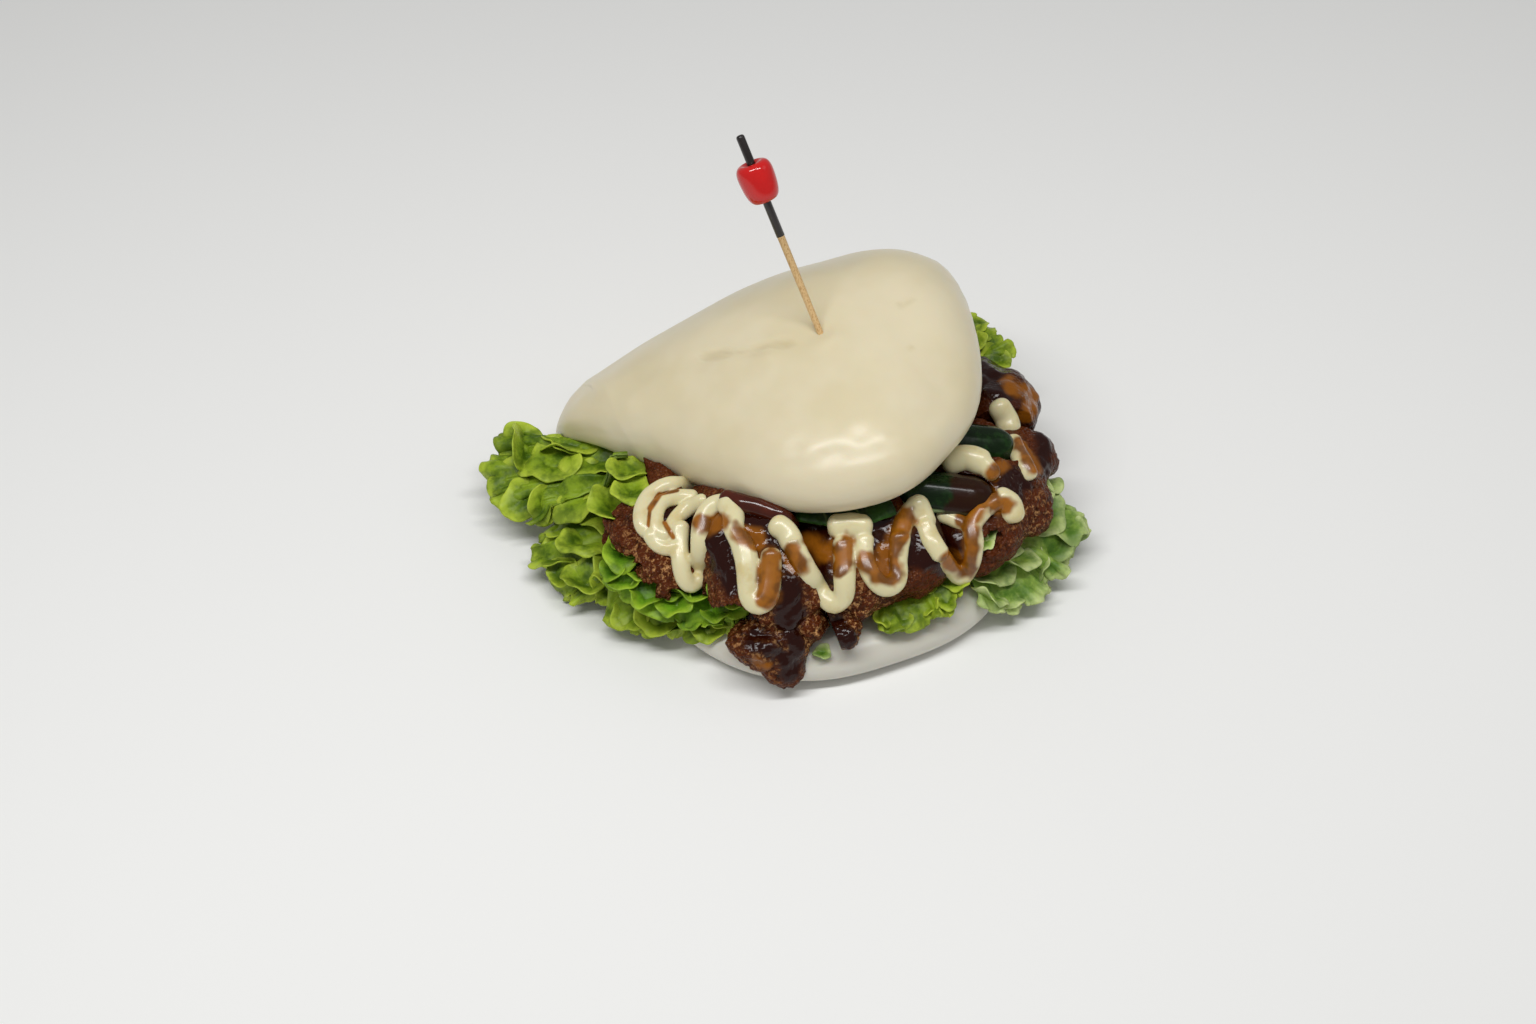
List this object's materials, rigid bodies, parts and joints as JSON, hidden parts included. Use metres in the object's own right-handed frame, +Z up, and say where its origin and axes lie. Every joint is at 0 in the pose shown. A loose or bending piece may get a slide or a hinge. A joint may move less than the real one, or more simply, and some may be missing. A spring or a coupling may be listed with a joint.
{
  "type": "filled steamed bun",
  "caption": "Folded steamed bun filled with sauced fried chicken, lettuce and cucumber, piped with mayonnaise and held by a beaded bamboo pick.",
  "frame": {"origin": "middle of the bun's flat underside, where it rests", "axes": "+Z up, +X along the bun's fold towards its taller end, and the open side with the filling faces -Y"},
  "size_m": [0.1454, 0.1099, 0.1084],
  "materials": {
    "dough": "smooth steamed dough, soft satin sheen",
    "bamboo": "bare bamboo below, black paint on the upper part",
    "red_bead": "glossy lacquer",
    "fried_chicken": "craggy fried crust under glossy sauce and piped mayonnaise",
    "lettuce": "moist waxy leaf",
    "cucumber": "wet dark green skin"
  },
  "bodies": {
    "root": {"bun": "dough", "pick": "bamboo", "bead": "red_bead", "chicken_left": "fried_chicken", "chicken_front": "fried_chicken", "chicken_middle": "fried_chicken", "chicken_right": "fried_chicken", "chicken_back": "fried_chicken", "lettuce_side": "lettuce", "lettuce_left": "lettuce", "lettuce_low": "lettuce", "lettuce_front": "lettuce", "lettuce_middle": "lettuce", "lettuce_right": "lettuce", "lettuce_back": "lettuce", "lettuce_rim": "lettuce", "cucumber_front": "cucumber", "cucumber_back": "cucumber"}
  },
  "joints": []
}
